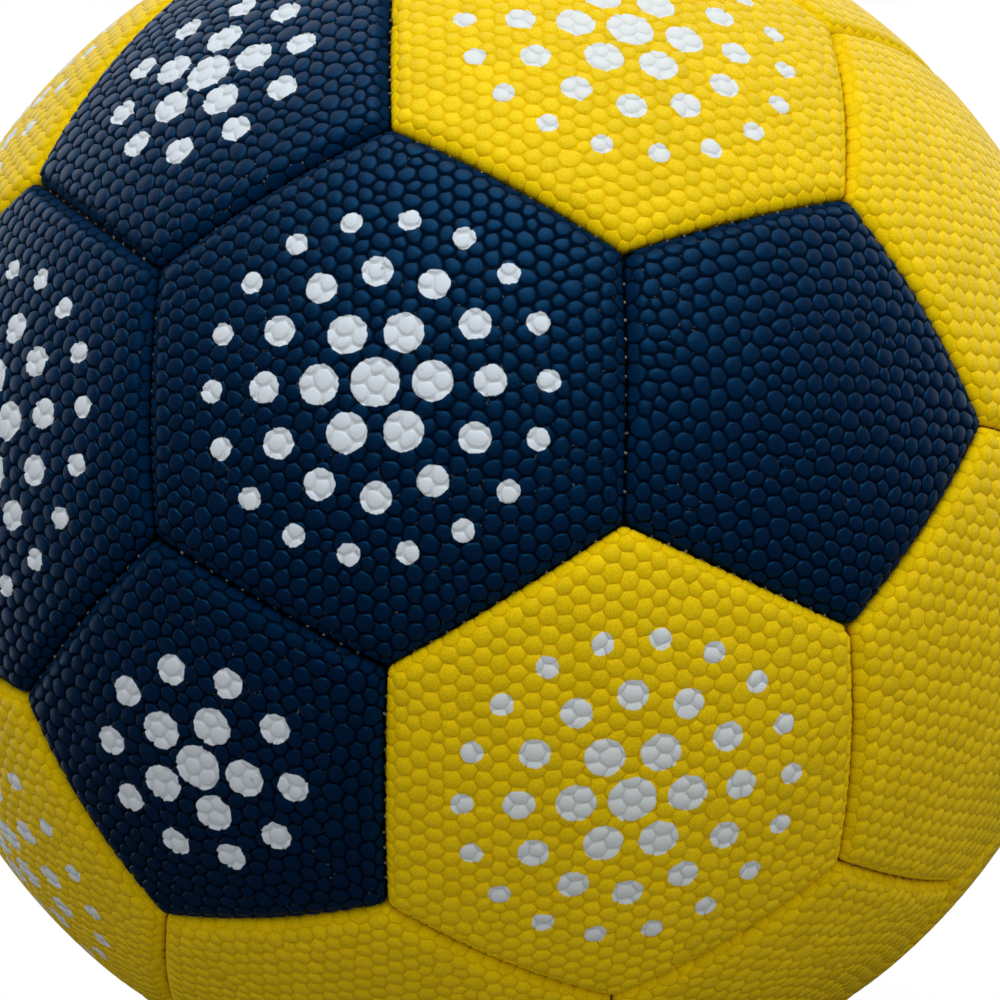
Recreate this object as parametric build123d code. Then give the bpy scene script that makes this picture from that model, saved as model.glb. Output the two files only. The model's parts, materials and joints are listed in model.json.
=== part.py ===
from build123d import *
import os
from itertools import combinations
from math import asin, atan, atan2, cos, degrees, floor, pi, sin, sqrt, tan

# Handball of the full senior size: thirty-two stitched panels over a bladder with a needle valve.
# Millimetres. The origin is the ball's centre, +Z points out through the valve and -Y to the dark panels.

# Ball
ball_circumference = 590.0

# Panel laminate, from the outside in
cover_thickness = 1.2
foam_thickness = 2.0
lining_thickness = 0.8
glue_line = 0.05

# Panel edges
seam_gap = 0.1
edge_roll_radius = 3.0
edge_roll_overhang = 0.4
edge_fold_radius = 0.6
corner_radius = 3.5
foam_corner_radius = 2.0

# Stitching
thread_diameter = 0.5
thread_clearance = 0.05
stitch_pitch = 2.6
stitch_end_margin = 1.2

# Bladder and the patch that balances the valve
bladder_wall = 1.0
balance_patch_diameter = 30.0
balance_patch_thickness = 1.5

# Valve
valve_stem_diameter = 7.6
valve_stem_clearance = 0.2
valve_recess = 0.5
valve_flange_diameter = 28.0
valve_flange_thickness = 1.2
valve_body_diameter = 11.0
valve_body_length = 14.0
needle_bore_diameter = 2.3
needle_guide_length = 4.0
plug_diameter = 5.2
plug_length = 11.0
plug_clearance = 0.05
plug_slit_width = 2.6
plug_slit_gap = 0.15
valve_ring_diameter = 18.0

# Length by which a cutting body passes the face that it cuts
overrun = 2.0

# Angles and counts of the truncated icosahedron that the seams follow
golden_ratio = (1 + sqrt(5)) / 2
ball_radius_per_edge = sqrt(9 * golden_ratio + 10) / 2
side_counts = {"hexagon": 6, "pentagon": 5}
corner_angles = {
    kind: asin(1 / (2 * sin(pi / sides) * ball_radius_per_edge)) for kind, sides in side_counts.items()
}
side_angles = {kind: atan(tan(corner_angles[kind]) * cos(pi / side_counts[kind])) for kind in side_counts}
seam_half_angle = asin(1 / (2 * ball_radius_per_edge))
valve_tilt = atan(1 / golden_ratio**2)
dark_side_turn = -2 * pi / 3
dark_reach_degrees = {"hexagon": 30, "pentagon": 60}

# Radii of the layers
ball_radius = ball_circumference / (2 * pi)
cover_inner_radius = ball_radius - cover_thickness
foam_outer_radius = cover_inner_radius - glue_line
foam_inner_radius = foam_outer_radius - foam_thickness
lining_outer_radius = foam_inner_radius - glue_line
lining_inner_radius = lining_outer_radius - lining_thickness
bladder_outer_radius = lining_inner_radius - glue_line
bladder_inner_radius = bladder_outer_radius - bladder_wall

# The thread, which crosses the seam below its valley and runs along the turned-in edges
half_gap = seam_gap / 2
thread_radius = thread_diameter / 2
hole_radius = thread_radius + thread_clearance
stitch_depth = cover_thickness + edge_fold_radius + hole_radius + thread_clearance
stitch_radius = ball_radius - stitch_depth
run_offset = half_gap + cover_thickness + hole_radius
foam_side_offset = run_offset + hole_radius
sharpest_corner = pi * (1 - 2 / side_counts["pentagon"])
corner_tangent_length = corner_radius / tan(sharpest_corner / 2)
stitched_length = 2 * (seam_half_angle * stitch_radius - corner_tangent_length - stitch_end_margin)
stitch_count = floor(stitched_length / stitch_pitch) + 1
stitch_angles = [(i - (stitch_count - 1) / 2) * stitch_pitch / stitch_radius for i in range(stitch_count)]

# Heights of the valve along +Z
valve_top = ball_radius - valve_recess
needle_guide_bottom = valve_top - needle_guide_length
plug_chamber_bottom = needle_guide_bottom - plug_length - 2 * plug_clearance
flange_outer_radius = bladder_inner_radius - glue_line
flange_inner_radius = flange_outer_radius - valve_flange_thickness
valve_body_bottom = flange_inner_radius - valve_body_length


def ball(radius):
    """A sphere whose poles and seam line stay clear of +Z and -Z."""
    return Rot(90, 0, 0) * Sphere(radius)


def rod(diameter, bottom, top):
    """A cylinder along Z between two heights."""
    return Pos(0, 0, bottom) * extrude(Circle(diameter / 2), top - bottom)


def pyramid(kind, side_offset, corner_round):
    """The space under one panel, its sides a given distance inside the seam planes."""
    sides = side_counts[kind]
    apex = side_offset / sin(side_angles[kind])
    bottom = bladder_inner_radius * cos(corner_angles[kind]) - overrun
    top = ball_radius + overrun

    def outline(height):
        reach = (height - apex) * tan(corner_angles[kind])
        turns = [2 * pi * i / sides for i in range(sides)]
        return [(reach * cos(t), reach * sin(t), height) for t in turns]

    low, high = outline(bottom), outline(top)
    walls = [(low[i - 1], low[i], high[i], high[i - 1]) for i in range(sides)]
    body = Solid(Shell([Face(Wire.make_polygon(points)) for points in (low, high, *walls)]))
    upright = body.edges().filter_by(lambda edge: abs((edge @ 0).Z - (edge @ 1).Z) > overrun)
    return fillet(upright, corner_round)


def crowned(kind, radius, side_offset, corner_round, roll_radius):
    """A pyramid cut to the ball's curve, with its upper edges rolled over."""
    body = pyramid(kind, side_offset, corner_round) & ball(radius)
    crown = body.faces().filter_by(GeomType.SPHERE)[0]
    return fillet(crown.edges(), roll_radius)


def layer(kind, outer_radius, inner_radius, side_offset, corner_round):
    """One flat-sided layer of the laminate."""
    return (pyramid(kind, side_offset, corner_round) & ball(outer_radius)) - ball(inner_radius)


def seam_plane(middle, along):
    """The plane of a seam: X along it, Y across it, Z out of the ball."""
    return Plane(origin=(0, 0, 0), x_dir=along, z_dir=middle)


def panel_seams(kind):
    """The seam planes round a panel whose centre lies on +Z and whose first corner lies towards +X."""
    tilt = side_angles[kind]
    planes = []
    for i in range(side_counts[kind]):
        turn = 2 * pi * (i + 0.5) / side_counts[kind]
        middle = (sin(tilt) * cos(turn), sin(tilt) * sin(turn), cos(tilt))
        planes.append(seam_plane(middle, (-sin(turn), cos(turn), 0)))
    return planes


def stitch_holes(kind):
    """The holes that the thread takes through a panel's turned-in edges."""
    length = 2 * foam_side_offset
    hole = Rot(90, 0, 0) * Cylinder(hole_radius, length)
    places = [(stitch_radius * sin(a), 0, stitch_radius * cos(a)) for a in stitch_angles]
    return [plane * (Pos(*place) * hole) for plane in panel_seams(kind) for place in places]


def cover(kind):
    """The leather of one panel: a shallow cup with stitched sides."""
    rolled_offset = half_gap - edge_roll_overhang
    rolled = crowned(kind, ball_radius, rolled_offset, corner_radius + edge_roll_overhang, edge_roll_radius)
    outside = rolled & pyramid(kind, half_gap, corner_radius)
    inner_corner = corner_radius - cover_thickness
    hollow = crowned(kind, cover_inner_radius, half_gap + cover_thickness, inner_corner, edge_fold_radius)
    return outside - hollow - ball(lining_inner_radius) - stitch_holes(kind)


def foam_pad(kind):
    """The foam under a cover, short of the thread that runs inside the turned-in edges."""
    return layer(kind, foam_outer_radius, foam_inner_radius, foam_side_offset, foam_corner_radius)


def lining(kind):
    """The textile under the foam, out to the turned-in edges."""
    inset = cover_thickness + glue_line
    return layer(kind, lining_outer_radius, lining_inner_radius, half_gap + inset, corner_radius - inset)


def seam_thread():
    """One running stitch along a seam, in the seam's own plane."""
    points = []
    side = run_offset
    for angle in stitch_angles:
        x, z = stitch_radius * sin(angle), stitch_radius * cos(angle)
        points += [(x, side, z), (x, -side, z)]
        side = -side
    route = Polyline(*points)
    section = Plane(origin=route @ 0, z_dir=route % 0) * Circle(thread_radius)
    return sweep(section, path=route, transition=Transition.RIGHT)


def bladder():
    """The airtight sphere, open for the valve's stem."""
    opening = rod(valve_stem_diameter + 2 * glue_line, 0, ball_radius)
    return ball(bladder_outer_radius) - ball(bladder_inner_radius) - opening


def valve_housing():
    """The rubber nozzle: stem, flange under the bladder, body, needle guide and plug chamber."""
    stem = rod(valve_stem_diameter, flange_inner_radius - overrun, valve_top)
    flange = rod(valve_flange_diameter, 0, ball_radius) & (ball(flange_outer_radius) - ball(flange_inner_radius))
    body = rod(valve_body_diameter, valve_body_bottom, flange_inner_radius)
    needle_path = rod(needle_bore_diameter, valve_body_bottom - overrun, valve_top + overrun)
    chamber = rod(plug_diameter + 2 * plug_clearance, plug_chamber_bottom, needle_guide_bottom)
    return stem + flange + body - needle_path - chamber


def valve_plug():
    """The slit insert that closes behind the needle."""
    bottom = plug_chamber_bottom + plug_clearance
    slit = Pos(0, 0, bottom) * Box(plug_slit_width, plug_slit_gap, 3 * plug_length)
    return rod(plug_diameter, bottom, bottom + plug_length) - slit


def valve_ring():
    """The textile ring let into the lining round the stem."""
    disc = rod(valve_ring_diameter, 0, ball_radius) & (ball(lining_outer_radius) - ball(lining_inner_radius))
    return disc - stem_hole()


def stem_hole():
    """The way through a panel for the valve's stem."""
    return rod(valve_stem_diameter + 2 * valve_stem_clearance, 0, ball_radius + overrun)


def balance_patch():
    """The disc bonded inside the bladder, opposite the valve."""
    top = bladder_inner_radius - glue_line
    disc = rod(balance_patch_diameter, -ball_radius, 0)
    return disc & (ball(top) - ball(top - balance_patch_thickness))


def in_frame(x, y, z):
    """A direction of the icosahedron, turned so that a face looks along +Z and the dark panels along -Y."""
    return Vector(x, y, z).rotate(Axis.Y, -degrees(valve_tilt)).rotate(Axis.Z, degrees(dark_side_turn))


signs = (-1, 1)
icosahedron = [
    in_frame(*point)
    for a in signs
    for b in signs
    for point in ((0, a, b * golden_ratio), (a, b * golden_ratio, 0), (b * golden_ratio, 0, a))
]
dark_axis = in_frame(1, 0, 0)
adjacent_reach = golden_ratio * sqrt(2)


def adjacent(first, second):
    """Whether two corners of the icosahedron share an edge."""
    return 0 < (first - second).length < adjacent_reach


def seam_corner(near, far):
    """Where the seams round one pentagon meet the seam that runs towards the next one."""
    return near * 2 + far


def panel(kind, centre, corner):
    """A panel's kind, colour, centre direction and plane."""
    centre = centre.normalized()
    reach = min(centre.get_angle(dark_axis), centre.get_angle(-dark_axis))
    colour = "navy" if reach < dark_reach_degrees[kind] else "yellow"
    towards = corner - centre * corner.dot(centre)
    return kind, colour, centre, Plane(origin=(0, 0, 0), x_dir=towards, z_dir=centre)


def all_panels():
    """Every panel, from the valve downwards and then round the ball."""
    found = []
    for corner in icosahedron:
        beside = next(other for other in icosahedron if adjacent(corner, other))
        found.append(panel("pentagon", corner, seam_corner(corner, beside)))
    for a, b, c in combinations(icosahedron, 3):
        if adjacent(a, b) and adjacent(b, c) and adjacent(a, c):
            found.append(panel("hexagon", a + b + c, seam_corner(a, b)))
    return sorted(found, key=lambda p: (-round(p[2].Z, 3), round(atan2(p[2].X, -p[2].Y), 3)))


def all_seams():
    """The planes of the seams between two hexagons, and of those round the pentagons."""
    between, around = [], []
    for near, far in combinations(icosahedron, 2):
        if adjacent(near, far):
            ends = seam_corner(near, far), seam_corner(far, near)
            between.append(seam_plane(ends[0] + ends[1], ends[1] - ends[0]))
    for centre in icosahedron:
        beside = [other for other in icosahedron if adjacent(centre, other)]
        for first, second in combinations(beside, 2):
            if adjacent(first, second):
                ends = seam_corner(centre, first), seam_corner(centre, second)
                around.append(seam_plane(ends[0] + ends[1], ends[1] - ends[0]))
    return between, around


def write(name, *solids):
    """Writes one node, a single solid or a group of like ones."""
    shape = solids[0] if len(solids) == 1 else Compound(children=list(solids))
    export_step(shape, f"parts/{name}.step", write_pcurves=False)


def write_panels():
    """Writes each cover as a node of its own, and the foam and linings in groups by kind."""
    covers = {kind: cover(kind) for kind in side_counts}
    pads = {kind: foam_pad(kind) for kind in side_counts}
    linings = {kind: lining(kind) for kind in side_counts}
    counts = {}
    groups = {}
    panels = all_panels()
    valve_panel = panels[0]
    for kind, colour, centre, plane in panels:
        pieces = covers[kind], pads[kind], linings[kind]
        if plane is valve_panel[3]:
            ring_hole = rod(valve_ring_diameter + 2 * glue_line, 0, ball_radius)
            pieces = [piece - cut for piece, cut in zip(pieces, (stem_hole(), stem_hole(), ring_hole))]
            name = "valve_panel"
        else:
            counts[colour, kind] = counts.get((colour, kind), 0) + 1
            name = f"{colour}_{kind}_{counts[colour, kind]:02d}"
        outer, pad, textile = [plane * piece for piece in pieces]
        write(name, outer)
        groups.setdefault(f"{kind}_foam_pads", []).append(pad)
        groups.setdefault(f"{kind}_linings", []).append(textile)
    for name, solids in groups.items():
        write(name, *solids)


def write_threads():
    """Writes the thread of each seam, in a group for each kind of seam."""
    thread = seam_thread()
    between, around = all_seams()
    write("hexagon_seam_threads", *[plane * thread for plane in between])
    write("pentagon_seam_threads", *[plane * thread for plane in around])


os.makedirs("parts", exist_ok=True)
write_panels()
write_threads()
write("bladder", bladder())
write("valve_housing", valve_housing())
write("valve_plug", valve_plug())
write("valve_ring", valve_ring())
write("balance_patch", balance_patch())
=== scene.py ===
import json
import math
from itertools import combinations, product

import bmesh
import bpy
import numpy as np
from bpy.props import FloatProperty, FloatVectorProperty, IntProperty, PointerProperty
from mathutils import Matrix, Vector


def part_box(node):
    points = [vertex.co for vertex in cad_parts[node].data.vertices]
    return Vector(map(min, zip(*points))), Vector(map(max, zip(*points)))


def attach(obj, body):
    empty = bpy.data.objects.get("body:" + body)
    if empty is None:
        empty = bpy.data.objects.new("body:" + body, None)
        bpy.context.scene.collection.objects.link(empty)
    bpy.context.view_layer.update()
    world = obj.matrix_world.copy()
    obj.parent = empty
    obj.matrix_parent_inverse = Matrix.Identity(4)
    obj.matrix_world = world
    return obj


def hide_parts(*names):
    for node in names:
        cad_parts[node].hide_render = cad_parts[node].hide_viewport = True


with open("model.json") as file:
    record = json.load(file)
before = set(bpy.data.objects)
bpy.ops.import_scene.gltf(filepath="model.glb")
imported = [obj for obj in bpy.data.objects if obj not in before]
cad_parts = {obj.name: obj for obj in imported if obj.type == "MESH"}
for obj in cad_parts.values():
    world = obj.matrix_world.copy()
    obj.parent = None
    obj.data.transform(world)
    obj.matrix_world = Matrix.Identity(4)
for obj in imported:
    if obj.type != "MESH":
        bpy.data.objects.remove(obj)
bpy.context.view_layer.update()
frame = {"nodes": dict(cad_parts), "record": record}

bl_info = {
    "name": "Stitched Handball",
    "version": (1, 0, 0),
    "blender": (4, 5, 0),
    "location": "View3D > Sidebar > Handball",
    "description": "Pebbled leather panels, seam thread, valve and studio for a stitched handball",
    "category": "Object",
}

BODY = "root"

# The truncated icosahedron that the seams follow
GOLDEN = (1 + math.sqrt(5)) / 2
RADII_PER_EDGE = math.sqrt(9 * GOLDEN + 10) / 2
SIDES = {"hexagon": 6, "pentagon": 5}
CORNER_ANGLE = {
    kind: math.asin(1 / (2 * math.sin(math.pi / count) * RADII_PER_EDGE))
    for kind, count in SIDES.items()
}
SIDE_ANGLE = {
    kind: math.atan(math.tan(CORNER_ANGLE[kind]) * math.cos(math.pi / count))
    for kind, count in SIDES.items()
}
VALVE_TILT = math.atan(1 / GOLDEN**2)
DARK_SIDE_TURN = -2 * math.pi / 3
TO_FRAME = Matrix.Rotation(DARK_SIDE_TURN, 3, "Z") @ Matrix.Rotation(-VALVE_TILT, 3, "Y")
SEAM_HALF_ANGLE = math.asin(1 / (2 * RADII_PER_EDGE))

# Names of the attributes that the leather carries
RELIEF, TINT, SEAM, PRINT = "relief", "tint", "seam", "print"

# Steps of a pebble's shoulder above its groove: shares of the shoulder's width and of the pebble's height
SHOULDER_STEPS = {"navy_cover": ((0.4, 0.33), (0.6, 0.13)), "yellow_cover": ((1.0, 0.45),)}

# Shares of a pebble's height: the wall of its groove and the crown of its top
GROOVE_WALL_SHARE = 0.5
CROWN_SHARE = 0.05

# Shares of the rolled edge over which the stitches pull and the pebbles are squeezed, and how flat they end
PULL_SHARES = (0.45, 0.95)
SQUEEZE_SHARES = (0.6, 1.1)
FLATTENED_SHARE = 0.5

# The share of the leather's thickness below which a point belongs to the underside
UNDERSIDE_SHARE = 0.9

# Steps along the rolled edge, and the angles among which it finds the one that it ends at
ROLL_STEPS = 400
ROLL_ENDS = np.radians(np.linspace(20, 89, 70))

# A stitch in thread diameters: how deep it dips, how far out, and how far it leans along the seam
STITCH_DIP = 2
STITCH_REACH = 2.2
STITCH_LEAN = 0.35

# The share of its reach over which a stitch crosses at the bottom of the seam
CROSSING_SHARE = 0.6

# The dish round the needle's way in: shares of the stem's wall out from the bore, and of the recess down
DISH_SHARES = ((0.7, 0), (0.56, 0.6), (0.35, 0.7), (0, 1.6))

# Lengths that only the shading shows, in metres: relief, and how the print's edge wavers and fades
GRAIN_DEPTH = 0.0001
PIT_DEPTH = 0.0002
PRINT_WAVER = 0.0006
PRINT_FADE = 0.00008

# The least cosine between a printed panel and the middle of a dark patch, and its rings of dots
PRINT_LEAN = {"hexagon": 0.5, "pentagon": 0.8}
DOT_RINGS = {"hexagon": 3, "pentagon": 2}

# Places and sizes on the stage, in ball radii
KEY_PLACE = (2, -3.3, 8)
KEY_SIZE = 8
FLOOR_SIZE = 60
SHADOW_FADE = (0.6, 1.2)
BACKDROP_FADE = (1, 3)

# The photograph's size, the pixel that the ball's centre falls on, and the camera's sensor in millimetres
PHOTO_PIXELS = 1000
CENTRE_PIXEL = (497.24, 498.67)
SENSOR_WIDTH = 36


def length(name, description, millimetres):
    """A length setting, given in millimetres."""
    return FloatProperty(
        name=name,
        description=description,
        default=millimetres / 1000,
        unit="LENGTH",
        subtype="DISTANCE",
        precision=5,
    )


def share(name, description, value):
    """A setting from 0 to 1."""
    return FloatProperty(name=name, description=description, default=value, min=0, max=1, subtype="FACTOR")


def angle_setting(name, description, degrees):
    """An angle setting, given in degrees."""
    return FloatProperty(name=name, description=description, default=math.radians(degrees), subtype="ANGLE")


def colour(name, description, red, green, blue):
    """A linear colour setting."""
    return FloatVectorProperty(
        name=name, description=description, default=(red, green, blue), size=3, min=0, max=1, subtype="COLOR"
    )


class LeatherSettings(bpy.types.PropertyGroup):
    """Sizes and colours of the pebbled leather."""

    circumference: length("Circumference", "Way round the ball", 590)
    thickness: length("Thickness", "Thickness of the leather", 1.2)
    pebble_pitch: length("Pebble Pitch", "Distance between the middles of two pebbles", 2.65)
    row_stray: share("Row Stray", "How far the rows of pebbles stray, in pitches", 0.3)
    pebble_stray: share("Pebble Stray", "How far a pebble strays from its row, in pitches", 0.39)
    corner_stray: share("Corner Stray", "How far the corners of a pebble stray, in pitches", 0.12)
    navy_height: length("Navy Height", "Height of a pebble above its groove on the dark panels", 0.4)
    yellow_height: length("Yellow Height", "Height of a pebble above its groove on the light panels", 0.35)
    navy_groove: length("Navy Groove", "Half width of the grooves on the dark panels", 0.15)
    yellow_groove: length("Yellow Groove", "Half width of the grooves on the light panels", 0.08)
    navy_rounding: share("Navy Rounding", "Rounding of a pebble's corners on the dark panels", 0.42)
    yellow_rounding: share("Yellow Rounding", "Rounding of a pebble's corners on the light panels", 0.28)
    shoulder: length("Shoulder", "Width of a pebble's rounded shoulder", 0.22)
    navy: colour("Navy", "Colour of the dark leather", 0.0002, 0.0088, 0.0385)
    # Painted shade: the near-black colour of the dark panels' grooves stands in for the shade that falls in
    # them
    navy_groove_painted_shade: colour("Navy Grooves", "Colour of the dark grooves", 0.0001, 0.0004, 0.001)
    yellow: colour("Yellow", "Colour of the light leather", 0.86, 0.595, 0.003)
    # Painted shade: the slightly darker, oranger colour of the light panels' grooves stands in for their
    # shade
    yellow_groove_painted_shade: colour("Yellow Grooves", "Colour of the light grooves", 0.82, 0.54, 0.001)
    print_white: colour("Print", "Colour of the printed dots", 0.72, 0.77, 0.8)
    dust: colour("Dust", "Colour of the dust in the grooves", 0.3, 0.27, 0.22)
    dot_radius: length("Dot Radius", "Radius of the middle dot of a printed rosette", 3.4)
    dot_shrink: length("Dot Shrink", "How much smaller the dots of each ring are than the last", 0.6)
    hexagon_rings: length("Hexagon Rings", "Distance between the rings of dots on a hexagon", 7.8)
    pentagon_rings: length("Pentagon Rings", "Distance between the rings of dots on a pentagon", 7.2)
    first_seed: IntProperty(name="First Seed", description="Start of the random rows", default=11, min=0)


class SeamSettings(bpy.types.PropertyGroup):
    """Sizes of the seams and their thread."""

    roll_width: length("Roll Width", "Width over which a panel's edge rolls into the seam", 4.6)
    roll_depth: length("Roll Depth", "Depth of the seam's valley", 1.75)
    roll_sharpness: FloatProperty(
        name="Roll Sharpness",
        description="How late the edge starts to roll over",
        default=2.4,
        subtype="FACTOR",
    )
    gap: length("Gap", "Gap between two panels at the bottom of the seam", 0.17)
    flange: length("Flange", "Depth of the edge that is turned in below the valley", 1.3)
    corner_radius: length("Corner Radius", "Rounding of a panel's corners", 2.2)
    stitch_pitch: length("Stitch Pitch", "Distance between two stitches", 2.6)
    stitch_margin: length("Stitch Margin", "Distance of the last stitch from the seam's end", 3.8)
    stitch_pull: length("Stitch Pull", "Depth by which a stitch pulls the leather in", 0.3)
    stitch_pull_reach: length("Stitch Pull Reach", "Distance over which a stitch pulls the leather in", 0.55)
    stitch_depth: length("Stitch Depth", "Depth at which a stitch crosses the seam", 2.1)
    thread_diameter: length("Thread", "Diameter of the thread", 0.45)
    thread: colour("Thread Colour", "Colour of the thread", 0.4, 0.39, 0.36)


class ValveSettings(bpy.types.PropertyGroup):
    """Sizes of the valve."""

    hole_radius: length("Hole Radius", "Radius of the hole in the valve's panel", 4.0)
    stem_radius: length("Stem Radius", "Radius of the rubber stem", 3.8)
    recess: length("Recess", "Depth of the stem's face below the leather", 0.5)
    bore_radius: length("Bore Radius", "Radius of the needle's way in", 1.15)
    neck: share("Neck", "Radius of the neck under the flange, as a share of the flange's", 0.4)
    neck_depth: length("Neck Depth", "Depth of the neck's top below the stem's face", 6.0)
    flange_low: length("Flange Low", "Depth of the flange's lower edge below the stem's face", 6.8)
    flange_high: length("Flange High", "Depth of the flange's upper edge below the stem's face", 5.7)
    root_depth: length("Root Depth", "Depth below the stem's face at which it meets the flange", 4.7)
    chamfer: length("Chamfer", "Chamfer round the stem's face", 0.2)
    edge_round: length("Edge Round", "Rounding of the valve's edges", 0.075)
    rubber: colour("Rubber", "Colour of the valve's rubber", 0.017, 0.017, 0.018)


class StageSettings(bpy.types.PropertyGroup):
    """Camera, light and floor."""

    camera_distance: length("Camera Distance", "Distance of the camera from the ball's centre", 670)
    lens: FloatProperty(name="Lens", description="Focal length", default=155.56, unit="CAMERA")
    azimuth: angle_setting("Azimuth", "Turn of the camera round the ball", 0.87)
    elevation: angle_setting("Elevation", "Height of the camera over the ball", 8.27)
    roll: angle_setting("Roll", "Turn of the camera about its view", -10.54)
    key_power: FloatProperty(name="Key", description="Power of the lamp overhead", default=3.3, unit="POWER")
    ambient_left: share("Ambient Left", "Strength of the light from the left", 0.57)
    ambient_right: share("Ambient Right", "Strength of the light from the right", 0.91)
    gloss: share("Gloss", "Strength of the room's near side as the gloss sees it", 0.02)
    floor_bounce: share("Floor Bounce", "Light that the floor throws back at the ball", 0.34)


def settings():
    """The scene's settings: leather, seams, valve and stage."""
    scene = bpy.context.scene
    return scene.handball_leather, scene.handball_seams, scene.handball_valve, scene.handball_stage


def ball_radius():
    """The ball's radius at the top of its pebbles."""
    return settings()[0].circumference / (2 * math.pi)


# The panels' places

def icosahedron():
    """The twelve corners that the pentagons sit on, in the object's frame."""
    return [
        TO_FRAME @ Vector(point)
        for a, b in product((-1, 1), repeat=2)
        for point in ((0, a, b * GOLDEN), (a, b * GOLDEN, 0), (b * GOLDEN, 0, a))
    ]


def adjacent(first, second):
    """Whether two corners of the icosahedron share an edge."""
    return 0 < (first - second).length < GOLDEN * math.sqrt(2)


def seam_corner(near, far):
    """Where the seams round one pentagon meet the seam that runs to the next one."""
    return near * 2 + far


def turned_to(out, along):
    """The turn that takes +Z to one direction and +X towards another."""
    z = out.normalized()
    x = (along - z * along.dot(z)).normalized()
    return Matrix((x, z.cross(x), z)).transposed()


def panel_places():
    """The kind and turn of every panel: its centre on +Z, its first corner towards +X."""
    corners = icosahedron()
    for corner in corners:
        beside = next(other for other in corners if adjacent(corner, other))
        yield "pentagon", turned_to(corner, seam_corner(corner, beside))
    for a, b, c in combinations(corners, 3):
        if adjacent(a, b) and adjacent(b, c) and adjacent(a, c):
            yield "hexagon", turned_to(a + b + c, seam_corner(a, b))


def seam_turn(start, end):
    """The turn of a seam: X along it and Z out through its middle."""
    return turned_to(start + end, end - start)


def seam_places():
    """The turns of the seams between two hexagons, and of those round the pentagons."""
    corners = icosahedron()
    between, around = [], []
    for near, far in combinations(corners, 2):
        if adjacent(near, far):
            between.append(seam_turn(seam_corner(near, far), seam_corner(far, near)))
    for centre in corners:
        beside = [other for other in corners if adjacent(centre, other)]
        for first, second in combinations(beside, 2):
            if adjacent(first, second):
                around.append(seam_turn(seam_corner(centre, first), seam_corner(centre, second)))
    return between, around


def slot_of(node):
    """The material slot that the record gives a node."""
    return next(part["material_slot"] for part in frame["record"]["subparts"] if part["node"] == node)


def cover_nodes():
    """Every cover panel's node with its kind and turn, matched by the place of the node's box."""
    nodes = [n for n in frame["nodes"] if slot_of(n) in ("navy_cover", "yellow_cover")]
    middles = {n: sum((Vector(c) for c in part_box(n)), Vector()).normalized() for n in nodes}
    found = []
    for kind, turn in panel_places():
        node = max(nodes, key=lambda n: middles[n].dot(turn.col[2]))
        found.append((node, kind, turn))
    if len({node for node, *_ in found}) != len(nodes):
        raise RuntimeError("two panels share a node")
    return sorted(found, key=lambda place: place[0])


# The shape of a panel's edge

def edge_roll():
    """The rolled edge as tables over its developed length: reach, drop and angle."""
    seams = settings()[1]
    width = seams.roll_width - seams.gap / 2
    steps = np.linspace(0, 1, ROLL_STEPS)
    bend = steps**seams.roll_sharpness
    ratios = [np.sin(end * bend).mean() / np.cos(end * bend).mean() for end in ROLL_ENDS]
    angle = np.interp(seams.roll_depth / width, ratios, ROLL_ENDS) * bend
    developed = width / np.cos(angle).mean()
    step = developed / (len(steps) - 1)

    def summed(values):
        return np.concatenate([[0], np.cumsum((values[1:] + values[:-1]) / 2) * step])

    return steps * developed, summed(np.cos(angle)), summed(np.sin(angle)), angle


def stitch_places():
    """The distances of the stitches from the middle of a seam."""
    seams = settings()[1]
    half = SEAM_HALF_ANGLE * ball_radius() - seams.stitch_margin
    count = math.floor(2 * half / seams.stitch_pitch) + 1
    return (np.arange(count) - (count - 1) / 2) * seams.stitch_pitch


def side_normals(kind):
    """The inward normals of the seam planes round a panel that looks along +Z."""
    tilt = SIDE_ANGLE[kind]
    turns = 2 * np.pi * (np.arange(SIDES[kind]) + 0.5) / SIDES[kind]
    flat = -math.cos(tilt) * np.cos(turns), -math.cos(tilt) * np.sin(turns)
    return np.stack([*flat, np.full_like(turns, math.sin(tilt))], 1), turns


def unit(vectors):
    """Vectors brought to length 1."""
    return vectors / np.linalg.norm(vectors, axis=1)[:, None]


def edge_field(kind, out):
    """Each direction's distance past the rounded outline, its way out and its place along the side."""
    radius, rounding = ball_radius(), settings()[1].corner_radius
    normals, turns = side_normals(kind)
    past = rounding - radius * np.arcsin(np.clip(out @ normals.T, -1, 1))
    rows = np.arange(len(out))
    first = past.argmax(1)
    before, after = (first - 1) % len(turns), (first + 1) % len(turns)
    second = np.where(past[rows, before] > past[rows, after], before, after)
    a, b = past[rows, first], past[rows, second]
    lean = float(normals[0] @ normals[1])
    share_a, share_b = (a - lean * b) / (1 - lean**2), (b - lean * a) / (1 - lean**2)

    def away(side):
        return unit(-normals[side] + out * np.einsum("ij,ij->i", normals[side], out)[:, None])

    corner = (a > 0) & (share_a > 0) & (share_b > 0)
    pull_a, pull_b = np.maximum(share_a, 1e-9)[:, None], np.maximum(share_b, 0)[:, None]
    round_way = unit(away(first) * pull_a + away(second) * pull_b)
    way = np.where(corner[:, None], round_way, away(first))
    beyond = np.where(corner, np.sqrt(np.maximum(share_a * a + share_b * b, 0)), a) - rounding
    tangents = np.stack([-np.sin(turns), np.cos(turns), np.zeros_like(turns)], 1)
    along = radius * np.arcsin(np.einsum("ij,ij->i", tangents[first], out))
    return beyond, way, along


def smooth_step(low, high, values):
    """0 below low, 1 above high and a smooth rise between."""
    t = np.clip((values - low) / (high - low), 0, 1)
    return t * t * (3 - 2 * t)


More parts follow.
